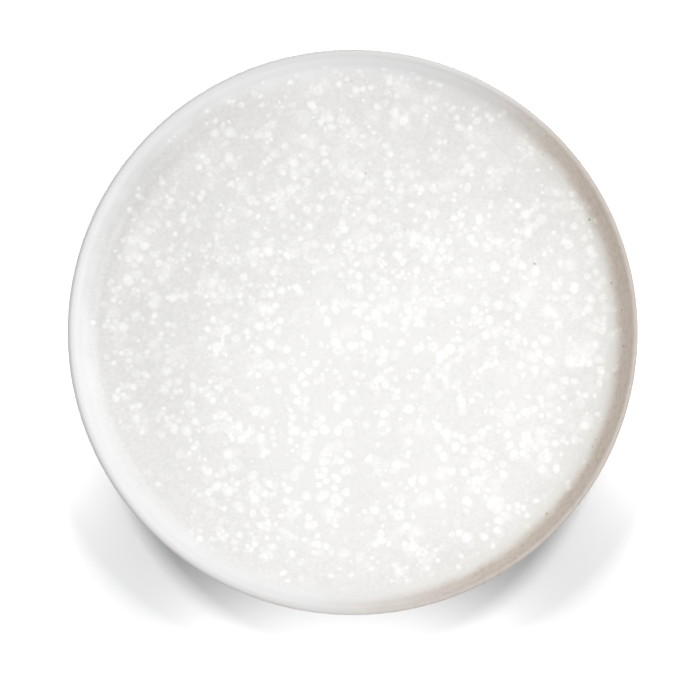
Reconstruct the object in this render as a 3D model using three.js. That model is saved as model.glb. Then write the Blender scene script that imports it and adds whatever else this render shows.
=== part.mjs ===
// A round ceramic coupe plate: a fired clay body on a turned foot ring, with its glaze coats as
// separate shells fused over it. Millimetres, +Z up, origin on the table under the plate's centre.
import * as THREE from 'three';

// Driving dimensions of the finished, glazed plate, in millimetres and degrees.
const PLATE_DIAMETER = 270;
const PLATE_HEIGHT = 25;
const WALL_SLOPE = 72; // of the wall above its cove, from level
const COVE_RADIUS = 9; // of the round between the well and the wall
const WALL_THICKNESS = 4.2; // of the wall where it leaves the base
const LIP_THICKNESS = 3; // of the full-round lip that the wall tapers to
const BASE_THICKNESS = 6; // from the recess under the plate to the well
const FOOT_HEIGHT = 4; // from the table to the recess under the plate
const FOOT_INSET = 47; // from the outside of the lip to the outside of the foot ring
const FOOT_WIDTH = 5; // of the foot ring, where its sides would meet the table
const FOOT_EDGE_RADIUS = 1;
const FOOT_DRAFT = 14; // lean of the foot ring's sides from upright
const SHOULDER_SLOPE = 4; // rise of the underside outside the foot ring
const BAND_SLOPE = 35; // slope in the cove where the speckled coat gives way to the rim coat
const GLAZE_THICKNESS = 0.5;
const BARE_MARGIN = 1.5; // clay wiped clean on each side of the foot ring

// How finely the round shapes are cut.
const STEPS_AROUND = 64;
const DEGREES_PER_STEP = 9;
const LIP_STEPS = 4; // in each quarter turn of the lip's round
const FOOT_EDGE_STEPS = 3;

const { degToRad, radToDeg } = THREE.MathUtils;
const QUARTER_TURN = Math.PI / 2;

const plateRadius = PLATE_DIAMETER / 2;
const wellHeight = FOOT_HEIGHT + BASE_THICKNESS;
const lipRadius = LIP_THICKNESS / 2;
const wallSlope = degToRad(WALL_SLOPE);
const bandSlope = degToRad(BAND_SLOPE);
const shoulderSlope = degToRad(SHOULDER_SLOPE);

// The lip's centre is set by the plate's outside. The cove leaves the well level and turns up into the
// straight wall, which runs into the lip, each tangent to the next.
const lip = new THREE.Vector2(plateRadius - lipRadius, PLATE_HEIGHT - lipRadius);
const reach = COVE_RADIUS + lipRadius;
const coveHeight = wellHeight + COVE_RADIUS;
const wallLength = (lip.y - coveHeight + reach * Math.cos(wallSlope)) / Math.sin(wallSlope);
const wellRadius = lip.x - reach * Math.sin(wallSlope) - wallLength * Math.cos(wallSlope);
const cove = new THREE.Vector2(wellRadius, coveHeight);

// The cove's outside turns about the same centre. The wall's outside runs straight from there to the
// lip, tangent to both, and is steeper than its inside by the wall's taper.
const outerRadius = COVE_RADIUS + WALL_THICKNESS;
const coveToLip = lip.clone().sub(cove);
const outerSlope = coveToLip.angle() + Math.asin((outerRadius - lipRadius) / coveToLip.length());

// Every curve below is half of the plate's section, with the distance from the axis as x and the
// height as y. It is drawn at a depth under the finished surface: the clay is one glaze thickness deep.
const FINISHED = 0;
const CLAY = GLAZE_THICKNESS;

// Points around a centre. Angles are in radians from the direction away from the axis.
function around(centre, radius, angles) {
  return angles.map((angle) => {
    const direction = new THREE.Vector2(Math.cos(angle), Math.sin(angle));
    return direction.multiplyScalar(radius).add(centre);
  });
}

// An arc with both its ends.
function arc(centre, radius, start, end, steps) {
  const along = (_, i) => THREE.MathUtils.lerp(start, end, i / steps);
  return around(centre, radius, Array.from({ length: steps + 1 }, along));
}

// The round under the wall between two slopes, inside or outside the plate by its radius.
function coveArc(radius, from, to) {
  const steps = Math.max(1, Math.round(radToDeg(Math.abs(to - from)) / DEGREES_PER_STEP));
  return arc(cove, radius, from - QUARTER_TURN, to - QUARTER_TURN, steps);
}

// The eating face, from the axis across the well to the band line in the cove.
function faceCurve(depth) {
  const centre = new THREE.Vector2(0, wellHeight - depth);
  return [centre, ...coveArc(COVE_RADIUS + depth, 0, bandSlope)];
}

// The lip's round, from its inner to its outer side. Its steps are counted from its outermost point, so
// one of them is there and one is at its crest, and the plate has its full diameter and height.
function lipArc(radius) {
  const start = wallSlope + QUARTER_TURN;
  const end = outerSlope - QUARTER_TURN;
  const step = QUARTER_TURN / LIP_STEPS;
  const first = Math.ceil(start / step) - 1;
  const last = Math.floor(end / step) + 1;
  const between = Array.from({ length: first - last + 1 }, (_, i) => (first - i) * step);
  return around(lip, radius, [start, ...between, end]);
}

// The rim, from the band line inside, over the lip, to the band line outside.
function rimCurve(depth) {
  return [
    ...coveArc(COVE_RADIUS + depth, bandSlope, wallSlope),
    ...lipArc(lipRadius - depth),
    ...coveArc(outerRadius - depth, outerSlope, bandSlope),
  ];
}

// The underside's straight shoulder, at a distance from the axis.
function onShoulder(depth, distance) {
  const [start] = coveArc(outerRadius - depth, shoulderSlope, bandSlope);
  return new THREE.Vector2(distance, start.y + (distance - start.x) * Math.tan(shoulderSlope));
}

// The foot ring's sides lean apart as they rise to their roots in the clay.
const footOuter = plateRadius - FOOT_INSET;
const footInner = footOuter - FOOT_WIDTH;
const draft = degToRad(FOOT_DRAFT);
const lean = Math.tan(draft);
const outerRootHeight = onShoulder(CLAY, footOuter).y / (1 - lean * Math.tan(shoulderSlope));
const outerRoot = onShoulder(CLAY, footOuter + outerRootHeight * lean);
const innerRoot = new THREE.Vector2(footInner - (FOOT_HEIGHT + CLAY) * lean, FOOT_HEIGHT + CLAY);

// The underside, from the band line outside, round and in along the shoulder to the glaze's end.
function backCurve(depth) {
  const end = onShoulder(depth, outerRoot.x + BARE_MARGIN);
  return [...coveArc(outerRadius - depth, bandSlope, shoulderSlope), end];
}

// The foot ring, from its outer root, round its standing face, to its inner root.
function footCurve() {
  const turn = QUARTER_TURN - draft;
  const inset = FOOT_EDGE_RADIUS * Math.tan(turn / 2);
  const outerEdge = new THREE.Vector2(footOuter - inset, FOOT_EDGE_RADIUS);
  const innerEdge = new THREE.Vector2(footInner + inset, FOOT_EDGE_RADIUS);
  return [
    outerRoot,
    ...arc(outerEdge, FOOT_EDGE_RADIUS, -draft, -QUARTER_TURN, FOOT_EDGE_STEPS),
    ...arc(innerEdge, FOOT_EDGE_RADIUS, -QUARTER_TURN, draft - Math.PI, FOOT_EDGE_STEPS),
    innerRoot,
  ];
}

// The recess inside the foot ring, from the axis to the glaze's end.
function recessCurve(depth) {
  const height = FOOT_HEIGHT + depth;
  return [new THREE.Vector2(0, height), new THREE.Vector2(innerRoot.x - BARE_MARGIN, height)];
}

// A named solid of revolution about +Z.
function turned(name, outline, material) {
  const geometry = new THREE.LatheGeometry(outline, STEPS_AROUND).rotateX(QUARTER_TURN);
  const mesh = new THREE.Mesh(geometry, material);
  mesh.name = name;
  return mesh;
}

// The clay, all the way round its section from the recess to the eating face.
function clayBody(material) {
  const outline = [
    ...faceCurve(CLAY),
    ...rimCurve(CLAY).slice(1),
    ...backCurve(CLAY).slice(1),
    ...footCurve(),
    ...recessCurve(CLAY).reverse(),
  ];
  return turned('clay_body', outline.reverse(), material);
}

// A coat of glaze fills the space between a finished curve and the same curve on the clay. Its outline
// goes out along one and back along the other, the same way round as the clay's, so that both split
// their shared faces along the same diagonals. Its faces are then turned outwards.
function coat(name, out, back, material) {
  const outline = [...out, ...back.reverse()];
  const isRing = outline[0].x > 0;
  const mesh = turned(name, isRing ? [...outline, outline[0]] : outline, material);
  mesh.geometry.index.array.reverse();
  return mesh;
}

function fired(color, roughness) {
  return new THREE.MeshStandardMaterial({ color, roughness, metalness: 0 });
}

const plate = new THREE.Group();
plate.name = 'ceramic_plate';
plate.add(
  clayBody(fired(0xb7a48f, 0.85)),
  coat('face_glaze', faceCurve(FINISHED), faceCurve(CLAY), fired(0xf0eeea, 0.45)),
  coat('rim_glaze', rimCurve(FINISHED), rimCurve(CLAY), fired(0xb7aba1, 0.45)),
  coat('back_glaze', backCurve(FINISHED), backCurve(CLAY), fired(0xe4ded6, 0.45)),
  coat('foot_recess_glaze', recessCurve(CLAY), recessCurve(FINISHED), fired(0xe4ded6, 0.45)),
);

export default plate;
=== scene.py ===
"""A speckled stoneware coupe plate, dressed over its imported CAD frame.

The clay and each coat of glaze are drawn as sections, with a pen made of bmesh operators, and turned
about the plate's axis. The white spatter lies on the face as thousands of small drops.
Metres, +Z up, origin on the table under the plate's centre.
"""

import math
import random
from collections import namedtuple
from itertools import islice

import bmesh
import bpy
from bpy.props import FloatProperty, FloatVectorProperty, IntProperty, PointerProperty
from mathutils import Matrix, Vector


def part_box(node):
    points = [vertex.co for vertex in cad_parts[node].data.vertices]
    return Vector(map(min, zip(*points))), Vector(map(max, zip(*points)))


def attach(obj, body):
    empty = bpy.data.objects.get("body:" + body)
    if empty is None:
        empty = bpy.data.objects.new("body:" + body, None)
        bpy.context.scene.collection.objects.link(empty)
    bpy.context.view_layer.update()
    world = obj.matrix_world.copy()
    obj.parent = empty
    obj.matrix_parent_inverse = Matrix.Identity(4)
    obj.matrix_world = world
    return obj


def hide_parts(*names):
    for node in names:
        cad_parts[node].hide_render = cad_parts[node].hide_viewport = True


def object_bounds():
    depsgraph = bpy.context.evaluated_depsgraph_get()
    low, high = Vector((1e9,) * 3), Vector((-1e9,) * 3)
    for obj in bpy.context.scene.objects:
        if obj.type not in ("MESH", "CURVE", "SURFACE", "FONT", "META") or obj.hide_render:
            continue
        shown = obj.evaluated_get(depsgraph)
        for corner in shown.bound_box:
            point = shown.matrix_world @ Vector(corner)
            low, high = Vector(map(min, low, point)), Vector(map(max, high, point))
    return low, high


bl_info = {
    "name": "Speckled Coupe Plate",
    "version": (1, 0, 0),
    "blender": (4, 5, 0),
    "location": "View3D > Sidebar > Plate",
    "description": "Builds a glazed stoneware coupe plate with white spatter on its face",
    "category": "Add Mesh",
}

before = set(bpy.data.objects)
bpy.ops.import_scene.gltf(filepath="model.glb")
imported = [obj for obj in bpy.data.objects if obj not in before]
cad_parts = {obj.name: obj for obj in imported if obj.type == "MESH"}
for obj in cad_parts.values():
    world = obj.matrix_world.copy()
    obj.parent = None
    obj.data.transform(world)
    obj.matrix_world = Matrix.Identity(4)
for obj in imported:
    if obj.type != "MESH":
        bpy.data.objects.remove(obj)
CAD_LOW, CAD_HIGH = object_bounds()
FACE_LOW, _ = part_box("face_glaze")
RECESS_LOW, RECESS_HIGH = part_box("foot_recess_glaze")
COAT = RECESS_HIGH.z - RECESS_LOW.z

MM = 0.001
QUARTER_TURN = math.pi / 2

# How finely the round shapes are cut, and how sharp an edge has to be to stay sharp.
STEPS_AROUND = 256
ARC_CHORD = 0.25 * MM
MERGE_DISTANCE = 0.001 * MM
CREASE = math.radians(40)


def length(name, description, default):
    """A size that the user can change."""
    return FloatProperty(name=name, description=description, default=default, min=0.0, precision=4,
                         unit="LENGTH", subtype="DISTANCE")


def slope(name, description, degrees):
    """An angle that the user can change."""
    return FloatProperty(name=name, description=description, default=math.radians(degrees),
                         min=0.0, max=QUARTER_TURN, unit="ROTATION", subtype="ANGLE")


def share(name, description, default):
    """A part of a whole that the user can change."""
    return FloatProperty(name=name, description=description, default=default, min=0.0, max=1.0,
                         subtype="FACTOR")


def colour(name, description, default):
    """A colour that the user can change."""
    return FloatVectorProperty(name=name, description=description, default=default, size=3,
                               min=0.0, max=1.0, subtype="COLOR")


def in_section(distance, height):
    """A point of the section, by its distance from the axis and its height."""
    return Vector((distance, 0.0, height))


def towards(angle):
    """A unit vector of the section, turned from the way out of the axis towards the way up."""
    return Vector((math.cos(angle), 0.0, math.sin(angle)))


class PlateSizes(bpy.types.PropertyGroup):
    """Sizes of the finished, glazed plate."""

    diameter: length("Diameter", "Across the outside of the lip", CAD_HIGH.x - CAD_LOW.x)
    height: length("Height", "From the table to the top of the lip", CAD_HIGH.z - CAD_LOW.z)
    well_height: length("Well height", "From the table to the flat of the face", FACE_LOW.z + COAT)
    recess_height: length("Recess height", "From the table to the recess underneath", RECESS_LOW.z)
    coat: length("Glaze thickness", "Of every coat of glaze", COAT)
    wall_slope: slope("Wall slope", "Of the wall above its cove, from level", 72)
    cove_radius: length("Cove radius", "Of the round between the well and the wall", 9 * MM)
    wall_thickness: length("Wall thickness", "Of the wall where it leaves the base", 4.2 * MM)
    lip_thickness: length("Lip thickness", "Of the full-round lip that the wall tapers to", 3.0 * MM)
    band_slope: slope("Band slope", "Slope in the cove where the face coat meets the rim coat", 35)
    shoulder_slope: slope("Shoulder slope", "Rise of the underside outside the foot ring", 4)
    foot_inset: length("Foot inset", "From the outside of the lip to the foot ring", 47 * MM)
    foot_width: length("Foot width", "Of the foot ring, where its sides would meet the table", 5 * MM)
    foot_edge: length("Foot edge radius", "Of the foot ring's two worn edges", 1 * MM)
    foot_draft: slope("Foot draft", "Lean of the foot ring's sides from upright", 14)
    bare_margin: length("Bare margin", "Clay wiped clean beside the foot ring", 1.5 * MM)

    @property
    def lip_radius(self):
        return self.lip_thickness / 2

    @property
    def lip(self):
        """The centre of the lip's round."""
        return in_section(self.diameter / 2 - self.lip_radius, self.height - self.lip_radius)

    @property
    def cove_height(self):
        return self.well_height + self.cove_radius

    @property
    def wall_length(self):
        """Length of the straight wall between its cove and its lip."""
        reach = self.cove_radius + self.lip_radius
        rise = self.lip.z - self.cove_height + reach * math.cos(self.wall_slope)
        return rise / math.sin(self.wall_slope)

    @property
    def cove(self):
        """The centre that the inside and the outside of the cove turn about."""
        reach = self.cove_radius + self.lip_radius
        run = reach * math.sin(self.wall_slope) + self.wall_length * math.cos(self.wall_slope)
        return in_section(self.lip.x - run, self.cove_height)

    @property
    def outer_slope(self):
        """Slope of the wall's outside, a straight line from the cove's outside to the lip."""
        away = self.lip - self.cove
        step = self.cove_radius + self.wall_thickness - self.lip_radius
        return math.atan2(away.z, away.x) + math.asin(step / away.length)

    @property
    def lip_turn(self):
        """The angle that the lip's round turns through, from the inside to the outside."""
        return math.pi + self.wall_slope - self.outer_slope

    def inside(self, angle, depth=0.0):
        """A point of the cove's inside where it has a slope, at a depth under the finished face."""
        return self.cove + (self.cove_radius + depth) * towards(angle - QUARTER_TURN)

    def outside(self, angle, depth=0.0):
        """A point of the cove's outside where it has a slope, at a depth under the finished back."""
        radius = self.cove_radius + self.wall_thickness - depth
        return self.cove + radius * towards(angle - QUARTER_TURN)

    def lip_side(self, outer, depth=0.0):
        """The lip's round starts and ends at these two points of its inner and outer side."""
        angle = self.outer_slope - QUARTER_TURN if outer else self.wall_slope + QUARTER_TURN
        return self.lip + (self.lip_radius - depth) * towards(angle)

    def shoulder(self, distance, depth=0.0):
        """A point of the underside's straight shoulder."""
        start = self.outside(self.shoulder_slope, depth)
        drop = (start.x - distance) * math.tan(self.shoulder_slope)
        return in_section(distance, start.z - drop)

    @property
    def foot_outer(self):
        return self.diameter / 2 - self.foot_inset

    @property
    def foot_inner(self):
        return self.foot_outer - self.foot_width

    @property
    def outer_root(self):
        """Where the foot ring's outer side meets the clay of the shoulder."""
        lean = math.tan(self.foot_draft)
        rise = self.shoulder(self.foot_outer, self.coat).z
        rise /= 1.0 - lean * math.tan(self.shoulder_slope)
        return self.shoulder(self.foot_outer + rise * lean, self.coat)

    @property
    def inner_root(self):
        """Where the foot ring's inner side meets the clay of the recess."""
        rise = self.recess_height + self.coat
        return in_section(self.foot_inner - rise * math.tan(self.foot_draft), rise)


class FaceLine:
    """The finished face's section, from the axis over the well, the cove and the wall to the lip."""

    def __init__(self, plate):
        self.flat = plate.cove.x
        self.well_height = plate.well_height
        self.cove = plate.cove
        self.cove_radius = plate.cove_radius
        self.wall_slope = plate.wall_slope
        self.wall_length = plate.wall_length
        self.lip = plate.lip
        self.lip_radius = plate.lip_radius
        self.wall_start = self.flat + self.cove_radius * self.wall_slope
        self.lip_start = self.wall_start + self.wall_length

    def at(self, travel):
        """The point that a travel from the axis ends at, and the way out of the face there."""
        if travel <= self.flat:
            return in_section(travel, self.well_height), towards(QUARTER_TURN)
        if travel <= self.lip_start:
            angle = min((travel - self.flat) / self.cove_radius, self.wall_slope)
            up_wall = max(travel - self.wall_start, 0.0)
            way = towards(angle + QUARTER_TURN)
            return self.cove - self.cove_radius * way + up_wall * towards(angle), way
        turn = (travel - self.lip_start) / self.lip_radius
        way = towards(self.wall_slope + QUARTER_TURN - turn)
        return self.lip + self.lip_radius * way, way


class PlateColours(bpy.types.PropertyGroup):
    """Colours of the clay and its glazes."""

    white: colour("White glaze", "Of the face and the underside", (0.825, 0.816, 0.797))
    # Grey also paints the shadow in the cove on the upper left side.
    grey: colour("Grey glaze", "Where the white glaze is thinner", (0.564, 0.555, 0.538))
    rim: colour("Rim glaze", "Of the wall, inside and outside", (0.853, 0.85, 0.848))
    spatter: colour("Spatter", "Added to the glaze by the white drops", (0.137, 0.137, 0.137))
    # Lip is partly glaze breaking over the edge, partly painted shade and dark reflection on the crest.
    lip: colour("Lip", "Where the glaze breaks over the lip", (0.40, 0.37, 0.34))
    cream: colour("Cream", "Where the rim's glaze begins to thin", (0.865, 0.846, 0.785))
    # Taupe is partly clay under thin glaze, partly painted shade on the wall that faces away from the
    # key.
    taupe: colour("Thin glaze", "Where clay shows through the rim's glaze", (0.685, 0.588, 0.508))
    iron: colour("Iron", "Of the small dark specks", (0.14, 0.10, 0.075))
    clay: colour("Clay", "Of the bare fired clay", (0.46, 0.37, 0.28))
    dark_clay: colour("Dark clay", "Of the coarse grains in the clay", (0.24, 0.17, 0.12))


class SpatterSettings(bpy.types.PropertyGroup):
    """How the white drops fall on the face."""

    count: IntProperty(name="Drops", description="How many drops land", default=2500, min=1)
    radius: length("Drop radius", "Of a middling drop", 1.85 * MM)
    smallest: length("Smallest radius", "Of any drop", 0.8 * MM)
    largest: length("Largest radius", "Of any drop that isn't misty", 3.4 * MM)
    spread: FloatProperty(name="Spread", description="How much the drops differ in size",
                          default=0.32, min=0.0)
    splashed: share("Splashed", "Drops that land beside an earlier one", 0.25)
    ringed: share("Ringed", "Drops with a thin centre", 0.25)
    misty: share("Misty", "Drops that spread wide and thin", 0.2)
    aside: length("Aside", "How far right of the axis the middle of the spray is", 4.5 * MM)
    beyond: length("Beyond", "How far behind the axis the middle of the spray is", 4 * MM)
    edge: length("Edge", "Distance from the spray's middle where the drops begin to stop", 120 * MM)
    last: length("Last", "Distance from the spray's middle that no drop passes", 130 * MM)
    film: length("Film", "Height of a full drop over the glaze", 0.07 * MM)
    specks: IntProperty(name="Specks", description="How many iron specks show", default=34, min=0)
    seed: IntProperty(name="Seed", description="Changes the whole layout", default=11)


class Pen:
    """Draws a section from point to point, then turns it about the plate's axis."""

    def __init__(self, start):
        self.bm = bmesh.new()
        self.start = self.bm.verts.new(start)
        self.tip = self.start

    def line(self, end, steps=1):
        """A straight line to a point, in equal steps."""
        run = (end - self.tip.co) / steps
        for _ in range(steps):
            made = bmesh.ops.extrude_vert_indiv(self.bm, verts=[self.tip])
            self.tip = made["verts"][0]
            bmesh.ops.translate(self.bm, verts=[self.tip], vec=run)

    def arc(self, centre, angle):
        """A round about a centre, anticlockwise where its angle is above zero."""
        radius = (self.tip.co - centre).length
        steps = max(2, math.ceil(abs(angle) * radius / ARC_CHORD))
        made = bmesh.ops.spin(self.bm, geom=[self.tip], cent=centre, axis=(0, -1, 0),
                              angle=angle, steps=steps)
        self.tip = made["geom_last"][0]

    def close(self):
        """A straight line back to the start."""
        self.bm.edges.new((self.tip, self.start))

    def turn(self):
        """The closed solid that the section sweeps in one turn."""
        bm = self.bm
        bmesh.ops.spin(bm, geom=bm.verts[:] + bm.edges[:], cent=(0, 0, 0), axis=(0, 0, 1),
                       angle=math.tau, steps=STEPS_AROUND, use_merge=True)
        bmesh.ops.remove_doubles(bm, verts=bm.verts, dist=MERGE_DISTANCE)
        bmesh.ops.recalc_face_normals(bm, faces=bm.faces)
        for face in bm.faces:
            face.smooth = True
        for edge in bm.edges:
            edge.smooth = edge.calc_face_angle(0.0) < CREASE
        return bm


def add_piece(name, bm, material, node=None):
    """Turns a finished bmesh into a piece of the plate, in place of a CAD node where one is named."""
    if not all(edge.is_manifold for edge in bm.edges):
        raise RuntimeError(f"{name} isn't a closed solid")
    old = bpy.data.objects.get(name)
    if old:
        bpy.data.objects.remove(old)
    mesh = bpy.data.meshes.new(name)
    bm.to_mesh(mesh)
    bm.free()
    mesh.materials.append(material)
    piece = bpy.data.objects.new(name, mesh)
    bpy.context.scene.collection.objects.link(piece)
    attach(piece, "root")
    if node:
        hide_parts(node)
    return piece


# A Mix node has several sockets of each name, so the ones for colours go by their places.
MIX_FACTOR, MIX_FIRST, MIX_SECOND, MIX_RESULT = 0, 6, 7, 2

VECTOR, COLOUR, NUMBER = "NodeSocketVector", "NodeSocketColor", "NodeSocketFloat"

# Noise of a scale and a detail, and the range of it in which something changes.
Pattern = namedtuple("Pattern", "scale detail low high")

CLOUDS = Pattern(scale=24, detail=4, low=0.38, high=0.68)
MOTTLE = Pattern(scale=560, detail=3, low=0.3, high=0.7)
FRECKLES = Pattern(scale=420, detail=4, low=0.4, high=0.7)
GLOSS_PATCHES = Pattern(scale=45, detail=3, low=0.3, high=0.7)
GRAINS = Pattern(scale=1800, detail=3, low=0.56, high=0.72)
STAINS = Pattern(scale=80, detail=4, low=0.35, high=0.75)
FLOOR_PATCHES = Pattern(scale=3, detail=3, low=0.3, high=0.7)


class Wiring:
    """Adds nodes to a node tree and joins them up."""

    def __init__(self, tree):
        self.tree = tree

    def put(self, socket, value):
        """Gives a socket a link, a number or a colour."""
        if isinstance(value, bpy.types.NodeSocket):
            self.tree.links.new(value, socket)
        elif socket.type == "RGBA":
            socket.default_value = (*value, 1.0)
        else:
            socket.default_value = value

    def add(self, kind, values=None, **settings):
        """A new node, with its settings and what goes into its sockets."""
        node = self.tree.nodes.new(kind)
        for name, value in settings.items():
            setattr(node, name, value)
        for name, value in (values or {}).items():
            self.put(node.inputs[name], value)
        return node

    def math(self, operation, *values):
        """The result of a calculation with numbers."""
        node = self.add("ShaderNodeMath", dict(enumerate(values)), operation=operation)
        return node.outputs["Value"]

    def vector(self, operation, *values):
        """A node that calculates with vectors."""
        return self.add("ShaderNodeVectorMath", dict(enumerate(values)), operation=operation)

    def noise(self, position, scale, detail):
        """Cloudy noise from 0 to 1."""
        values = {"Vector": position, "Scale": scale, "Detail": detail}
        return self.add("ShaderNodeTexNoise", values).outputs["Fac"]

    def waver(self, position, scale, detail, reach):
        """Cloudy noise about 0, from half its reach below to half its reach above."""
        return self.math("MULTIPLY_ADD", self.noise(position, scale, detail), reach, -reach / 2)

    def ease(self, value, low, high, start=0.0, end=1.0):
        """Eases from start to end while the value goes from low to high."""
        values = {"Value": value, "From Min": low, "From Max": high, "To Min": start, "To Max": end}
        node = self.add("ShaderNodeMapRange", values, interpolation_type="SMOOTHSTEP")
        return node.outputs["Result"]

    def pattern(self, position, pattern, start=0.0, end=1.0):
        """Eases from start to end while the noise of a pattern goes through its range."""
        noise = self.noise(position, pattern.scale, pattern.detail)
        return self.ease(noise, pattern.low, pattern.high, start, end)

    def mix(self, factor, first, second, blend="MIX"):
        """Goes from the first colour to the second, or adds the second to it."""
        values = {MIX_FACTOR: factor, MIX_FIRST: first, MIX_SECOND: second}
        node = self.add("ShaderNodeMix", values, data_type="RGBA", blend_type=blend)
        return node.outputs[MIX_RESULT]

    def position(self):
        """Where a point is, in the frame of its piece."""
        return self.add("ShaderNodeTexCoord").outputs["Object"]


def new_group(name, inputs, outputs):
    """An empty shader node group, as its wiring, its input sockets and its output node."""
    tree = bpy.data.node_groups.new(name, "ShaderNodeTree")
    for label, kind in inputs.items():
        tree.interface.new_socket(label, in_out="INPUT", socket_type=kind)
    for label, kind in outputs.items():
        tree.interface.new_socket(label, in_out="OUTPUT", socket_type=kind)
    wires = Wiring(tree)
    source = wires.add("NodeGroupInput").outputs
    return wires, source, wires.add("NodeGroupOutput")


def in_from_lip(millimetres):
    """A distance from the axis, given by how far it is inside the outside of the lip."""
    return CAD_HIGH.x - millimetres * MM


def level_way(bearing):
    """A unit vector along the table, turned anticlockwise from the way to the right."""
    return Vector((math.cos(bearing), math.sin(bearing), 0.0))


GLAZE_COLOURS = ("white", "grey", "rim", "lip", "cream", "taupe", "iron")

# Each pair is where a change of the glaze starts and where it ends. These are distances from the axis.
# The first is a painted shadow in the cove on the upper left side.
COVE_SHADOW = (in_from_lip(21.5), in_from_lip(11.5))
FRINGE = (in_from_lip(18.5), in_from_lip(10.5))
RIM_COAT = (in_from_lip(12.8), in_from_lip(4))
# On the right, the thin coat's band is also painted darker as shade.
THIN_AND_SHADED_COAT = (in_from_lip(10.5), in_from_lip(4.6))
LIP_EDGE = (in_from_lip(3.8), in_from_lip(1.8))

# The place where the glaze is whitest, off the middle, and the middle of the foot ring, and distances
# from them.
WHITEST_POINT = Vector((22 * MM, -42 * MM, 0.0))
GREYING = (36 * MM, 158 * MM)
FOOT_MIDDLE = in_from_lip(49.46)
WIPED_LINE = (5.3 * MM, 7.7 * MM)

# Heights over the table.
LIP_TOP = (CAD_HIGH.z - 4.5 * MM, CAD_HIGH.z - 1.5 * MM)
UNDERSIDE = (7.5 * MM, 9 * MM)

# The ways to the two painted sides, and cosines of the angle from them: the upper left, with a painted
# shadow in its cove, and the right, where the rim's glaze is thin and its wall is painted darker as
# shade.
PAINTED_SHADOW_WAY = level_way(math.radians(146))
PAINTED_SHADOW_SIDE = (0.75, 1.0)
THIN_AND_SHADED_WAY = level_way(math.radians(-15))
THIN_AND_SHADED_SIDE = (0.08, 0.79)

# How far the edge of the rim's coat wanders, and how far it is moved on those two sides: lower into the
# cove on the right, as painted light where that cove lies in shade, and higher on the upper left, to
# widen the painted shadow there.
EDGE_WANDER = 5 * MM
PAINTED_LIGHT_EDGE_DROP = 3 * MM
PAINTED_SHADOW_EDGE_RISE = 2.5 * MM

# How much of that the wiped line wanders, how patchy the right side's thin glaze and painted shade are,
# and how much more the lip is darkened there, as broken glaze and painted shade.
WIPED_WANDER_SHARE = 0.4
THIN_AND_SHADED_PATCHINESS = 0.3
THIN_AND_SHADED_LIP_EXTRA = 0.35


class GlazePoint:
    """A point of the glaze, as sockets for its place, its height, its distance and its bearing."""

    def __init__(self, wires, place):
        self.wires = wires
        self.place = place
        split = wires.add("ShaderNodeSeparateXYZ", {"Vector": place}).outputs
        self.height = split["Z"]
        across = {"X": split["X"], "Y": split["Y"]}
        self.level = wires.add("ShaderNodeCombineXYZ", across).outputs["Vector"]
        self.distance = wires.vector("LENGTH", self.level).outputs["Value"]
        self.bearing = wires.vector("NORMALIZE", self.level).outputs["Vector"]

    def facing(self, way):
        """Cosine of the angle between the point's bearing and a way along the table."""
        return self.wires.vector("DOT_PRODUCT", self.bearing, way).outputs["Value"]


def add_greyness(wires, point, painted_shadow_side):
    """The glaze greys with distance from its whitest point, and a painted shadow greys the cove on the
    upper left side.
    """
    from_whitest = wires.vector("DISTANCE", point.level, WHITEST_POINT).outputs["Value"]
    drift = wires.ease(from_whitest, *GREYING, end=0.425)
    # A painted shadow in the cove on the upper left side.
    cove_shadow = wires.math("MULTIPLY", painted_shadow_side, wires.ease(point.distance, *COVE_SHADOW, end=0.38))
    clouds = wires.pattern(point.place, CLOUDS, start=-0.05, end=0.06)
    mottle = wires.pattern(point.place, MOTTLE, start=-0.1, end=0.1)
    return wires.math("ADD", wires.math("ADD", drift, cove_shadow), wires.math("ADD", clouds, mottle))


def add_thin_and_shaded_side(wires, point):
    """Where the rim's coat is thin on the right, and the clay and its iron show through in patches; the
    same side is painted darker as shade.
    """
    patchy = wires.waver(point.place, scale=38, detail=4, reach=THIN_AND_SHADED_PATCHINESS)
    return wires.ease(wires.math("ADD", point.facing(THIN_AND_SHADED_WAY), patchy), *THIN_AND_SHADED_SIDE)


def add_crest(wires, point, thin_and_shaded_side):
    """Where the glaze breaks over the lip's edge, most of all on the right; the crest is also painted
    darker as shade and a dark reflection.
    """
    crest = wires.math("MULTIPLY", wires.ease(point.distance, *LIP_EDGE),
                       wires.ease(point.height, *LIP_TOP, end=0.4))
    extra = wires.math("MULTIPLY_ADD", thin_and_shaded_side, THIN_AND_SHADED_LIP_EXTRA, 1.0)
    return wires.math("MULTIPLY", crest, extra)


def add_wiped(wires, point, wander):
    """Where the glaze underneath thins to a warm line, wiped off beside the foot ring."""
    distance = wires.math("MULTIPLY_ADD", wander, WIPED_WANDER_SHARE, point.distance)
    from_foot = wires.math("ABSOLUTE", wires.math("SUBTRACT", distance, FOOT_MIDDLE))
    return wires.math("MULTIPLY", wires.ease(from_foot, *WIPED_LINE, start=0.85, end=0.0),
                      wires.ease(point.height, *UNDERSIDE, start=1.0, end=0.0))


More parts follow.
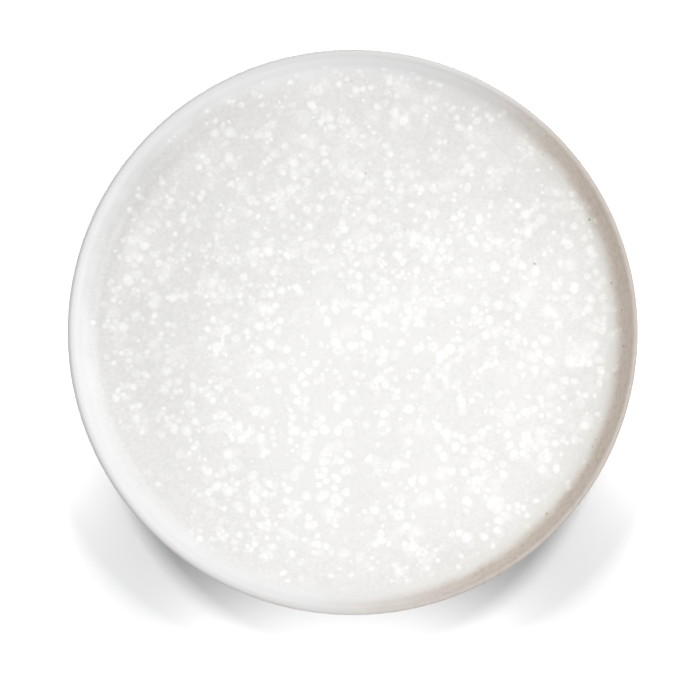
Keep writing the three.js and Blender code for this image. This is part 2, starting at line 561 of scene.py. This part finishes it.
def glaze_colour_group(name):
    """Colour of the white glaze: it drifts to grey, has a painted shadow in one cove, and thins to taupe
    on one side of the rim, which is also painted shade.
    """
    tints = {label.title(): COLOUR for label in GLAZE_COLOURS}
    wires, source, target = new_group(name, {"Position": VECTOR, **tints}, {"Color": COLOUR})
    point = GlazePoint(wires, source["Position"])
    # The two painted sides: a painted shadow in the upper left cove, and painted shade on the right
    # wall's thin glaze.
    painted_shadow_side = wires.ease(point.facing(PAINTED_SHADOW_WAY), *PAINTED_SHADOW_SIDE)
    thin_and_shaded_side = add_thin_and_shaded_side(wires, point)

    # The rim's coat is whiter. Its edge wanders, as dipped glaze does. It is painted lower on the right,
    # as painted light in the shaded cove, and higher on the upper left, in the painted shadow. On the
    # right the coat goes over a cream fringe to taupe, with freckles of iron in it: thin glaze, painted
    # darker as shade where the wall faces away from the key.
    wander = wires.waver(point.place, scale=70, detail=3, reach=EDGE_WANDER)
    ragged = wires.math("ADD", point.distance, wander)
    # Painted light: the white reaches lower into the shaded cove on the right.
    edge = wires.math("MULTIPLY_ADD", thin_and_shaded_side, PAINTED_LIGHT_EDGE_DROP, ragged)
    # Painted shadow: the white stops higher on the upper left.
    edge = wires.math("MULTIPLY_ADD", painted_shadow_side, -PAINTED_SHADOW_EDGE_RISE, edge)
    whiteness = wires.ease(edge, *RIM_COAT)
    fringe = wires.math("MULTIPLY", thin_and_shaded_side, wires.ease(ragged, *FRINGE, end=0.7))
    # The taupe is thin glaze and painted shade on the wall that faces away from the key.
    thin_glaze_and_shade = wires.math("MULTIPLY", thin_and_shaded_side, wires.ease(ragged, *THIN_AND_SHADED_COAT))
    freckles = wires.math("MULTIPLY", wires.pattern(point.place, FRECKLES, end=0.17), thin_glaze_and_shade)
    thin_glaze_and_shade = wires.math("MAXIMUM", thin_glaze_and_shade, add_wiped(wires, point, wander))

    tone = wires.mix(add_greyness(wires, point, painted_shadow_side), source["White"], source["Grey"])
    tone = wires.mix(whiteness, tone, wires.mix(fringe, source["Rim"], source["Cream"]))
    tone = wires.mix(thin_glaze_and_shade, tone, source["Taupe"])
    tone = wires.mix(freckles, tone, source["Iron"])
    # The lip's crest darkens as broken glaze and as painted shade and dark reflection.
    tone = wires.mix(add_crest(wires, point, thin_and_shaded_side), tone, source["Lip"])
    wires.put(target.inputs["Color"], tone)
    return wires.tree


# How deep the pores and grains are beside the ripples and rings, and how dark the grains are.
PORE_DEPTH = 0.12
GRAIN_DEPTH = 0.8
GRAIN_SHADE = 0.7


def glaze_surface_group(name):
    """Gloss and ripple of a fired glaze."""
    inputs = {"Position": VECTOR, "Glossy": NUMBER, "Satin": NUMBER}
    wires, source, target = new_group(name, inputs, {"Roughness": NUMBER, "Height": NUMBER})
    place = source["Position"]
    roughness = wires.pattern(place, GLOSS_PATCHES, source["Glossy"], source["Satin"])
    wires.put(target.inputs["Roughness"], roughness)
    ripple = wires.noise(place, scale=260, detail=1)
    pores = wires.noise(place, scale=2600, detail=2)
    wires.put(target.inputs["Height"], wires.math("MULTIPLY_ADD", pores, PORE_DEPTH, ripple))
    return wires.tree


def fired_clay_group(name):
    """Colour and grain of bare clay that was turned on a wheel."""
    inputs = {"Position": VECTOR, "Clay": COLOUR, "Dark": COLOUR}
    wires, source, target = new_group(name, inputs, {"Color": COLOUR, "Height": NUMBER})
    place = source["Position"]
    grains = wires.pattern(place, GRAINS)
    stains = wires.pattern(place, STAINS, end=0.45)
    shade = wires.math("MAXIMUM", wires.math("MULTIPLY", grains, GRAIN_SHADE), stains)
    wires.put(target.inputs["Color"], wires.mix(shade, source["Clay"], source["Dark"]))
    rings = wires.add("ShaderNodeTexWave", {"Vector": place, "Scale": 260.0, "Distortion": 1.5},
                      wave_type="RINGS", rings_direction="Z").outputs["Fac"]
    wires.put(target.inputs["Height"], wires.math("MULTIPLY_ADD", grains, -GRAIN_DEPTH, rings))
    return wires.tree


def add_group(wires, name, build, values):
    """Adds a node group that materials share, which is built the first time it is asked for."""
    tree = bpy.data.node_groups.get(name) or build(name)
    return wires.add("ShaderNodeGroup", values, node_tree=tree).outputs


def new_material(name):
    """An empty material, with its wiring and its Principled shader."""
    material = bpy.data.materials.get(name) or bpy.data.materials.new(name)
    material.use_nodes = True
    material.node_tree.nodes.clear()
    wires = Wiring(material.node_tree)
    shader = wires.add("ShaderNodeBsdfPrincipled")
    wires.add("ShaderNodeOutputMaterial", {"Surface": shader.outputs["BSDF"]})
    return material, wires, shader


# The roughness of a glaze where it is most and least glossy, and the height of its ripples.
Finish = namedtuple("Finish", "glossy satin ripple")

FACE_FINISH = Finish(glossy=0.40, satin=0.54, ripple=0.03 * MM)
RIM_FINISH = Finish(glossy=0.40, satin=0.52, ripple=0.03 * MM)
BACK_FINISH = Finish(glossy=0.40, satin=0.54, ripple=0.04 * MM)
DROP_FINISH = Finish(glossy=0.34, satin=0.48, ripple=0.02 * MM)

# The mist in the face: how close its dots are, how far each one fades out, and which of them show.
MIST_SCALE = 420.0
MIST_DOT = (0.30, 0.12)
MIST_CHANCE = (0.72, 0.95)

CLAY_ROUGHNESS = 0.82
CLAY_RELIEF = 0.06 * MM

# Greys of the floor, as the camera sees it and as the plate does.
FLOOR_PALE = (0.46, 0.46, 0.46)
FLOOR_PATCH = (0.445, 0.445, 0.445)
FLOOR_DIM = (0.2, 0.2, 0.2)
FLOOR_ROUGHNESS = 0.7


def add_glaze(wires, shader, colours, finish):
    """Gives a shader the white glaze, and returns its colour for a material that paints on it."""
    place = wires.position()
    surface = add_group(wires, "Glaze surface", glaze_surface_group,
                        {"Position": place, "Glossy": finish.glossy, "Satin": finish.satin})
    wires.put(shader.inputs["Roughness"], surface["Roughness"])
    bump = wires.add("ShaderNodeBump", {"Height": surface["Height"], "Distance": finish.ripple})
    wires.put(shader.inputs["Normal"], bump.outputs["Normal"])
    tints = {label.title(): getattr(colours, label) for label in GLAZE_COLOURS}
    glaze = add_group(wires, "Glaze colour", glaze_colour_group, {"Position": place, **tints})
    wires.put(shader.inputs["Base Color"], glaze["Color"])
    return glaze["Color"]


def glaze_material(name, colours, finish):
    """The white glaze with nothing on it."""
    material, wires, shader = new_material(name)
    add_glaze(wires, shader, colours, finish)
    return material


def face_material(colours):
    """The white glaze with a mist of the smallest white drops fired into it."""
    material, wires, shader = new_material("Speckled white glaze")
    base = add_glaze(wires, shader, colours, FACE_FINISH)
    cells = wires.add("ShaderNodeTexVoronoi", {"Vector": wires.position(), "Scale": MIST_SCALE})
    dots = wires.ease(cells.outputs["Distance"], *MIST_DOT)
    lot = wires.add("ShaderNodeSeparateColor", {"Color": cells.outputs["Color"]}).outputs["Red"]
    mist = wires.math("MULTIPLY", dots, wires.ease(lot, *MIST_CHANCE, end=0.6))
    wires.put(shader.inputs["Base Color"], wires.mix(mist, base, colours.spatter, "ADD"))
    return material


def film_material(name, colours, tint, blend):
    """The white glaze with a tint mixed into it or added to it, as thick as the mesh says."""
    material, wires, shader = new_material(name)
    base = add_glaze(wires, shader, colours, DROP_FINISH)
    film = wires.add("ShaderNodeAttribute", attribute_name="film").outputs["Fac"]
    wires.put(shader.inputs["Base Color"], wires.mix(film, base, tint, blend))
    return material


def clay_material(colours):
    """Bare fired clay."""
    material, wires, shader = new_material("Bare stoneware")
    tints = {"Clay": colours.clay, "Dark": colours.dark_clay}
    clay = add_group(wires, "Fired clay", fired_clay_group, {"Position": wires.position(), **tints})
    wires.put(shader.inputs["Base Color"], clay["Color"])
    wires.put(shader.inputs["Roughness"], CLAY_ROUGHNESS)
    bump = wires.add("ShaderNodeBump", {"Height": clay["Height"], "Distance": CLAY_RELIEF})
    wires.put(shader.inputs["Normal"], bump.outputs["Normal"])
    return material


def floor_material():
    """A pale floor that throws less light back on the plate than the camera sees on it."""
    material, wires, shader = new_material("Studio floor")
    pale = wires.mix(wires.pattern(wires.position(), FLOOR_PATCHES), FLOOR_PALE, FLOOR_PATCH)
    seen = wires.add("ShaderNodeLightPath").outputs["Is Camera Ray"]
    wires.put(shader.inputs["Base Color"], wires.mix(seen, FLOOR_DIM, pale))
    wires.put(shader.inputs["Roughness"], FLOOR_ROUGHNESS)
    return material


# How many steps the straight lines of the section are cut into. A coat's back has as many as the clay.
CLAY_WELL_STEPS = 12
CLAY_WALL_STEPS = 6
CLAY_SHOULDER_STEPS = 8
CLAY_RECESS_STEPS = 10
FOOT_SIDE_STEPS = 3
FOOT_FACE_STEPS = 4
GLAZE_WELL_STEPS = 24
GLAZE_WALL_STEPS = 12
GLAZE_BACK_STEPS = 16


class PLATE_OT_body(bpy.types.Operator):
    """Turn the clay body with its foot ring"""

    bl_idname = "plate.body"
    bl_label = "Clay body"

    def execute(self, context):
        plate = context.scene.plate_sizes
        coat = plate.coat
        pen = Pen(in_section(0, plate.well_height - coat))
        pen.line(plate.inside(0, coat), CLAY_WELL_STEPS)
        pen.arc(plate.cove, plate.wall_slope)
        pen.line(plate.lip_side(False, coat), CLAY_WALL_STEPS)
        pen.arc(plate.lip, -plate.lip_turn)
        pen.line(plate.outside(plate.outer_slope, coat), CLAY_WALL_STEPS)
        pen.arc(plate.cove, plate.shoulder_slope - plate.outer_slope)
        pen.line(plate.outer_root, CLAY_SHOULDER_STEPS)
        self.draw_foot(plate, pen)
        pen.line(in_section(0, plate.recess_height + coat), CLAY_RECESS_STEPS)
        material = clay_material(context.scene.plate_colours)
        add_piece("stoneware_body", pen.turn(), material, "clay_body")
        return {"FINISHED"}

    def draw_foot(self, plate, pen):
        """Draws the foot ring, from its outer root over its two edges to its inner root."""
        turn = QUARTER_TURN - plate.foot_draft
        edge = plate.foot_edge
        inset = edge * math.tan(turn / 2)
        outer_edge = in_section(plate.foot_outer - inset, edge)
        inner_edge = in_section(plate.foot_inner + inset, edge)
        pen.line(outer_edge + edge * towards(-plate.foot_draft), FOOT_SIDE_STEPS)
        pen.arc(outer_edge, -turn)
        pen.line(inner_edge - in_section(0, edge), FOOT_FACE_STEPS)
        pen.arc(inner_edge, -turn)
        pen.line(plate.inner_root, FOOT_SIDE_STEPS)


class PLATE_OT_face_glaze(bpy.types.Operator):
    """Coat the well and the start of the cove with white glaze"""

    bl_idname = "plate.face_glaze"
    bl_label = "Face glaze"

    def execute(self, context):
        plate = context.scene.plate_sizes
        coat = plate.coat
        pen = Pen(in_section(0, plate.well_height))
        pen.line(plate.inside(0), GLAZE_WELL_STEPS)
        pen.arc(plate.cove, plate.band_slope)
        pen.line(plate.inside(plate.band_slope, coat))
        pen.arc(plate.cove, -plate.band_slope)
        pen.line(in_section(0, plate.well_height - coat), CLAY_WELL_STEPS)
        material = face_material(context.scene.plate_colours)
        add_piece("speckled_face_glaze", pen.turn(), material, "face_glaze")
        return {"FINISHED"}


class PLATE_OT_rim_glaze(bpy.types.Operator):
    """Coat the wall, the lip and the outside of the wall"""

    bl_idname = "plate.rim_glaze"
    bl_label = "Rim glaze"

    def execute(self, context):
        plate = context.scene.plate_sizes
        coat = plate.coat
        inner_rise = plate.wall_slope - plate.band_slope
        outer_rise = plate.outer_slope - plate.band_slope
        pen = Pen(plate.inside(plate.band_slope))
        pen.arc(plate.cove, inner_rise)
        pen.line(plate.lip_side(False), GLAZE_WALL_STEPS)
        pen.arc(plate.lip, -plate.lip_turn)
        pen.line(plate.outside(plate.outer_slope), GLAZE_WALL_STEPS)
        pen.arc(plate.cove, -outer_rise)
        pen.line(plate.outside(plate.band_slope, coat))
        pen.arc(plate.cove, outer_rise)
        pen.line(plate.lip_side(True, coat), CLAY_WALL_STEPS)
        pen.arc(plate.lip, plate.lip_turn)
        pen.line(plate.inside(plate.wall_slope, coat), CLAY_WALL_STEPS)
        pen.arc(plate.cove, -inner_rise)
        pen.close()
        material = glaze_material("Rim glaze", context.scene.plate_colours, RIM_FINISH)
        add_piece("rim_band_glaze", pen.turn(), material, "rim_glaze")
        return {"FINISHED"}


# A coat's wiped end wavers by these numbers of waves in a turn, each with a start of its own.
WIPE_REACH = 4 * MM
WIPE_WAVER = 0.15 * MM
WIPE_WAVES = {3: 0.0, 7: 1.0, 17: 2.0}


def wipe(bm, end, rise):
    """Lets the end of a coat wander round the foot ring, where it was wiped off by hand."""
    for vertex in bm.verts:
        distance = vertex.co.xy.length
        near = 1.0 - abs(distance - end) / WIPE_REACH
        if near > 0.0:
            bearing = math.atan2(vertex.co.y, vertex.co.x)
            wave = sum(math.sin(count * bearing + start) for count, start in WIPE_WAVES.items())
            shift = near * WIPE_WAVER * wave
            vertex.co.xy *= 1.0 + shift / distance
            vertex.co.z += shift * rise
    return bm


class PLATE_OT_back_glaze(bpy.types.Operator):
    """Coat the underside, outside the foot ring and in the recess inside it"""

    bl_idname = "plate.back_glaze"
    bl_label = "Underside glaze"

    def execute(self, context):
        plate = context.scene.plate_sizes
        material = glaze_material("Underside glaze", context.scene.plate_colours, BACK_FINISH)
        add_piece("underside_glaze", self.shoulder(plate), material, "back_glaze")
        add_piece("recess_glaze", self.recess(plate), material, "foot_recess_glaze")
        return {"FINISHED"}

    def shoulder(self, plate):
        """The coat from the rim's coat to its wiped end outside the foot ring."""
        coat = plate.coat
        fall = plate.band_slope - plate.shoulder_slope
        end = plate.outer_root.x + plate.bare_margin
        pen = Pen(plate.outside(plate.band_slope))
        pen.arc(plate.cove, -fall)
        pen.line(plate.shoulder(end + coat), GLAZE_BACK_STEPS)
        pen.arc(plate.shoulder(end + coat, coat), -QUARTER_TURN)
        pen.line(plate.shoulder(end, coat))
        pen.line(plate.outside(plate.shoulder_slope, coat), CLAY_SHOULDER_STEPS)
        pen.arc(plate.cove, fall)
        pen.close()
        return wipe(pen.turn(), end, math.tan(plate.shoulder_slope))

    def recess(self, plate):
        """The disc of glaze to its wiped end inside the foot ring."""
        coat = plate.coat
        end = plate.inner_root.x - plate.bare_margin
        height = plate.recess_height
        pen = Pen(in_section(0, height))
        pen.line(in_section(end - coat, height), GLAZE_BACK_STEPS)
        pen.arc(in_section(end - coat, height + coat), QUARTER_TURN)
        pen.line(in_section(0, height + coat), CLAY_RECESS_STEPS)
        return wipe(pen.turn(), end, 0.0)


# How the drops fall. The splash reach is in radii of the earlier drop.
SPLASH_REACH = (0.8, 2.2)
COVER = (0.4, 1.35)
MISTY_WIDTH = 1.5
MISTY_COVER = 0.45
SPECK_RADIUS = (0.35 * MM, 0.8 * MM)
SPECK_COVER = (0.45, 0.9)
SPECK_SPREAD = math.radians(40)
FACE_SPECK_EVERY = 9

# The shape of a drop. Those of more than the large radius have more sides and a mesh of their own.
LARGE_DROP = 1.8 * MM
LARGE_DROP_SIDES = 12
SMALL_DROP_SIDES = 9
MOST_OVAL = 0.16
MOST_LOBED = 0.09
EDGE_FALL = 1.2
RING_DEPTH = 0.8
RING_WIDTH = 0.32
EDGE_HEIGHT = 0.003 * MM
ROOT_SHARE = 0.1

# The blank that drops are shaped from, for a radius of 1.
BLANK_INSET = 0.3
BLANK_HEIGHT = 0.3
BLANK_CROWN = 0.2
BLANK_ROOT = 1.0

Drop = namedtuple("Drop", "x y radius cover ringed")


def throw_drops(settings, draw):
    """Drops over the unrolled face. Some land beside an earlier one, as splashes do."""
    drops = []
    while len(drops) < settings.count:
        turn = draw.uniform(0, math.tau)
        if drops and draw.random() < settings.splashed:
            parent = draw.choice(drops)
            away = parent.radius * draw.uniform(*SPLASH_REACH)
            x = parent.x + away * math.cos(turn)
            y = parent.y + away * math.sin(turn)
        else:
            away = settings.last * math.sqrt(draw.random())
            x = settings.aside + away * math.cos(turn)
            y = settings.beyond + away * math.sin(turn)
        from_middle = math.hypot(x - settings.aside, y - settings.beyond)
        if draw.uniform(settings.edge, settings.last) < from_middle:
            continue
        radius = settings.radius * draw.lognormvariate(0, settings.spread)
        radius = min(max(radius, settings.smallest), settings.largest)
        cover = draw.uniform(*COVER)
        if from_middle > settings.edge:
            radius = min(radius, settings.radius)
        elif draw.random() < settings.misty:
            radius *= MISTY_WIDTH
            cover *= MISTY_COVER
        drops.append(Drop(x, y, radius, cover, draw.random() < settings.ringed))
    return drops


def throw_specks(settings, line, draw):
    """Small dark specks, most of them on the right side of the wall and a few on the face."""
    specks = []
    for index in range(settings.specks):
        away = draw.uniform(line.flat + line.cove_radius / 2, line.lip_start)
        turn = draw.gauss(0, SPECK_SPREAD)
        if index % FACE_SPECK_EVERY == 0:
            away = line.flat * math.sqrt(draw.random())
            turn = draw.uniform(0, math.tau)
        radius = draw.uniform(*SPECK_RADIUS)
        cover = draw.uniform(*SPECK_COVER)
        specks.append(Drop(away * math.cos(turn), away * math.sin(turn), radius, cover, False))
    return specks


def drop_blank(segments):
    """A closed lens with a radius of 1 and a root under its centre, which drops are shaped from."""
    bm = bmesh.new()
    bmesh.ops.create_cone(bm, cap_ends=True, segments=segments, radius1=1.0,
                          radius2=1.0 - BLANK_INSET, depth=BLANK_HEIGHT)
    bottom = min(bm.faces, key=lambda face: face.normal.z)
    top = max(bm.faces, key=lambda face: face.normal.z)
    bmesh.ops.inset_individual(bm, faces=[top], thickness=BLANK_INSET, depth=BLANK_CROWN)
    bmesh.ops.poke(bm, faces=[top])
    bmesh.ops.poke(bm, faces=[bottom], offset=BLANK_ROOT)
    for face in bm.faces:
        face.smooth = True
    for edge in bm.edges:
        edge.smooth = edge.calc_face_angle() < CREASE
    blank = bpy.data.meshes.new("drop_blank")
    bm.to_mesh(blank)
    bm.free()
    return blank


def film_at(drop, out):
    """Thickness of a drop part of the way out from its centre. Its colour is full from 1 up."""
    thickness = (1.0 - out * out) ** EDGE_FALL
    if drop.ringed:
        thickness *= 1.0 - RING_DEPTH * math.exp(-((out / RING_WIDTH) ** 2))
    return thickness * drop.cover


def lay_drops(plate, settings, drops, draw):
    """One mesh of all the drops, each bent over the face where it lies."""
    line = FaceLine(plate)
    bm = bmesh.new()
    film = bm.verts.layers.float.new("film")
    blanks = {segments: drop_blank(segments) for segments in (SMALL_DROP_SIDES, LARGE_DROP_SIDES)}
    sides = [LARGE_DROP_SIDES if drop.radius > LARGE_DROP else SMALL_DROP_SIDES for drop in drops]
    for count in sides:
        bm.from_mesh(blanks[count])
    vertices = iter(bm.verts)
    for drop, count in zip(drops, sides):
        oval = draw.uniform(0, MOST_OVAL)
        oval_turn = draw.uniform(0, math.tau)
        lobes = draw.uniform(0, MOST_LOBED)
        lobe_turn = draw.uniform(0, math.tau)
        for vertex in islice(vertices, len(blanks[count].vertices)):
            out = min(vertex.co.xy.length, 1.0)
            angle = math.atan2(vertex.co.y, vertex.co.x)
            shape = 1.0 + oval * math.cos(2 * angle - oval_turn) + lobes * math.cos(3 * angle - lobe_turn)
            x = drop.x + drop.radius * out * shape * math.cos(angle)
            y = drop.y + drop.radius * out * shape * math.sin(angle)
            vertex[film] = film_at(drop, out)
            height = EDGE_HEIGHT + vertex[film] * settings.film
            if vertex.co.z < -BLANK_ROOT / 2:
                height = -ROOT_SHARE * drop.radius
            point, way = line.at(math.hypot(x, y))
            point += height * way
            bearing = math.atan2(y, x)
            vertex.co = (point.x * math.cos(bearing), point.x * math.sin(bearing), point.z)
    for blank in blanks.values():
        bpy.data.meshes.remove(blank)
    return bm


class PLATE_OT_spatter(bpy.types.Operator):
    """Lay the white drops and the iron specks on the glaze"""

    bl_idname = "plate.spatter"
    bl_label = "Spatter"

    def execute(self, context):
        plate = context.scene.plate_sizes
        colours = context.scene.plate_colours
        settings = context.scene.plate_spatter
        white = film_material("White spatter", colours, colours.spatter, "ADD")
        iron = film_material("Iron specks", colours, colours.iron, "MIX")
        draw = random.Random(settings.seed)
        drops = throw_drops(settings, draw)
        large = [drop for drop in drops if drop.radius > LARGE_DROP]
        small = [drop for drop in drops if drop.radius <= LARGE_DROP]
        specks = throw_specks(settings, FaceLine(plate), draw)
        add_piece("large_spatter", lay_drops(plate, settings, large, draw), white)
        add_piece("fine_spatter", lay_drops(plate, settings, small, draw), white)
        add_piece("iron_specks", lay_drops(plate, settings, specks, draw), iron)
        return {"FINISHED"}


# The picture's width in pixels, and sizes of the floor and the lamps, which have two distances.
IMAGE_WIDTH = 700
FLOOR_REACH = 6.0
FLOOR_SQUARES = 8
SPOT_BULB = 0.02
FAR_LAMP = 1.2
NEAR_LAMP = 1.0

# The sky from the left, and from the right, where it is brighter and cooler.
LEFT_SKY = (0.48, 0.473, 0.458)
RIGHT_SKY = (1.045, 1.06, 1.095)


def add_floor():
    """A wide, level floor at the height of the table."""
    bm = bmesh.new()
    bmesh.ops.create_grid(bm, x_segments=FLOOR_SQUARES, y_segments=FLOOR_SQUARES, size=FLOOR_REACH)
    mesh = bpy.data.meshes.new("studio_floor")
    bm.to_mesh(mesh)
    bm.free()
    mesh.materials.append(floor_material())
    floor = bpy.data.objects.new("studio_floor", mesh)
    bpy.context.scene.collection.objects.link(floor)
    return floor


def add_sky():
    """Soft light from all round, which changes evenly from the left to the right."""
    world = bpy.data.worlds.new("Studio")
    world.use_nodes = True
    wires = Wiring(world.node_tree)
    way = wires.add("ShaderNodeTexCoord").outputs["Generated"]
    across = wires.add("ShaderNodeSeparateXYZ", {"Vector": way}).outputs["X"]
    to_right = wires.math("MULTIPLY_ADD", across, 0.5, 0.5)
    sky = wires.mix(to_right, LEFT_SKY, RIGHT_SKY)
    wires.put(world.node_tree.nodes["Background"].inputs["Color"], sky)
    bpy.context.scene.world = world


def soft_box(name, size, power):
    """A square lamp."""
    lamp = bpy.data.lights.new(name, "AREA")
    lamp.size = size
    lamp.energy = power
    return lamp


def spot(name, cone, power):
    """A lamp with a narrow cone of light, in degrees, that fades to its edge."""
    lamp = bpy.data.lights.new(name, "SPOT")
    lamp.spot_size = math.radians(cone)
    lamp.spot_blend = 1.0
    lamp.shadow_soft_size = SPOT_BULB
    lamp.energy = power
    return lamp


def hang(lamp, floor, bearing, elevation, distance=FAR_LAMP, aim=(0.0, 0.0, 0.0), on_floor=True):
    """Faces a lamp to a point of the floor. It lights the floor alone, or all but the floor."""
    light = bpy.data.objects.new(lamp.name, lamp)
    rise = math.radians(elevation)
    way = math.cos(rise) * level_way(math.radians(bearing))
    way.z = math.sin(rise)
    light.location = Vector(aim) + way * distance
    light.rotation_euler = (-way).to_track_quat("-Z", "Y").to_euler()
    bpy.context.scene.collection.objects.link(light)
    lit = bpy.data.collections.new(lamp.name + " lights")
    lit.objects.link(floor)
    lit.collection_objects[0].light_linking.link_state = "INCLUDE" if on_floor else "EXCLUDE"
    light.light_linking.receiver_collection = lit


def add_lamps(floor):
    """A key for the plate, and lamps for the floor that leave two soft shadows in front of it."""
    hang(soft_box("Key", size=0.7, power=5.4), floor, bearing=10, elevation=68, on_floor=False)
    sides = {"right": 1, "left": -1}
    for name, side in sides.items():
        lamp = soft_box(f"Far {name} floor light", size=0.3, power=18.5)
        hang(lamp, floor, bearing=90 - side * 40, elevation=40)
    hang(soft_box("Far front floor light", size=0.3, power=4.0), floor, bearing=-90, elevation=50)
    for name, side in sides.items():
        lamp = spot(f"Near {name} floor light", cone=13.6, power=60.0)
        hang(lamp, floor, bearing=90 - side * 94, elevation=60, distance=NEAR_LAMP,
             aim=(side * 0.205, -0.005, 0.0))
    lamp = spot("Near front floor light", cone=14.5, power=95.0)
    hang(lamp, floor, bearing=-90, elevation=60, distance=NEAR_LAMP, aim=(0.0, -0.23, 0.0))


def add_camera(plate):
    """A long lens over the plate, framed for a square picture."""
    camera = bpy.data.cameras.new("Camera")
    camera.lens = 120.0
    elevation = math.radians(83)

    # Pixels from the rim's middle to its edge, and from the picture's middle to the rim's.
    rim_pixels = 285.0
    right, up = 2.7, 21.8

    half_picture = camera.sensor_width / 2 / camera.lens
    distance = plate.diameter / 2 / half_picture * (IMAGE_WIDTH / 2) / rim_pixels
    pixel = plate.diameter / 2 / rim_pixels
    back = Vector((0.0, -math.cos(elevation), math.sin(elevation)))
    upright = Vector((0.0, math.sin(elevation), math.cos(elevation)))
    middle = Vector((0.0, 0.0, plate.lip.z)) - pixel * (right * Vector((1.0, 0.0, 0.0)) + up * upright)
    holder = bpy.data.objects.new("Camera", camera)
    holder.location = middle + distance * back
    holder.rotation_euler = (-back).to_track_quat("-Z", "Y").to_euler()
    bpy.context.scene.collection.objects.link(holder)
    bpy.context.scene.camera = holder


class PLATE_OT_stage(bpy.types.Operator):
    """Set up the floor, the soft light and the camera"""

    bl_idname = "plate.stage"
    bl_label = "Studio"

    def execute(self, context):
        floor = add_floor()
        add_sky()
        add_lamps(floor)
        add_camera(context.scene.plate_sizes)
        context.scene.view_settings.view_transform = "Standard"
        return {"FINISHED"}


class PLATE_PT_sidebar(bpy.types.Panel):
    """Lists the plate's pieces and sizes"""

    bl_idname = "PLATE_PT_sidebar"
    bl_label = "Speckled Coupe Plate"
    bl_space_type = "VIEW_3D"
    bl_region_type = "UI"
    bl_category = "Plate"

    def draw(self, context):
        for operator in OPERATORS:
            self.layout.operator(operator.bl_idname)
        for name in SETTINGS:
            settings = getattr(context.scene, name)
            box = self.layout.box()
            for label in settings.__annotations__:
                box.prop(settings, label)


OPERATORS = (PLATE_OT_body, PLATE_OT_face_glaze, PLATE_OT_rim_glaze, PLATE_OT_back_glaze,
             PLATE_OT_spatter, PLATE_OT_stage)
SETTINGS = {"plate_sizes": PlateSizes, "plate_colours": PlateColours, "plate_spatter": SpatterSettings}


def register():
    """Adds the settings, the operators and the panel."""
    for settings in SETTINGS.values():
        bpy.utils.register_class(settings)
    for operator in OPERATORS:
        bpy.utils.register_class(operator)
    bpy.utils.register_class(PLATE_PT_sidebar)
    for name, settings in SETTINGS.items():
        setattr(bpy.types.Scene, name, PointerProperty(type=settings))


def unregister():
    """Takes away what register added."""
    for name in SETTINGS:
        delattr(bpy.types.Scene, name)
    bpy.utils.unregister_class(PLATE_PT_sidebar)
    for operator in reversed(OPERATORS):
        bpy.utils.unregister_class(operator)
    for settings in SETTINGS.values():
        bpy.utils.unregister_class(settings)


def main():
    """Builds the plate on its stage."""
    register()
    bpy.ops.plate.body()
    bpy.ops.plate.face_glaze()
    bpy.ops.plate.rim_glaze()
    bpy.ops.plate.back_glaze()
    bpy.ops.plate.spatter()
    bpy.ops.plate.stage()


if __name__ == "__main__":
    main()
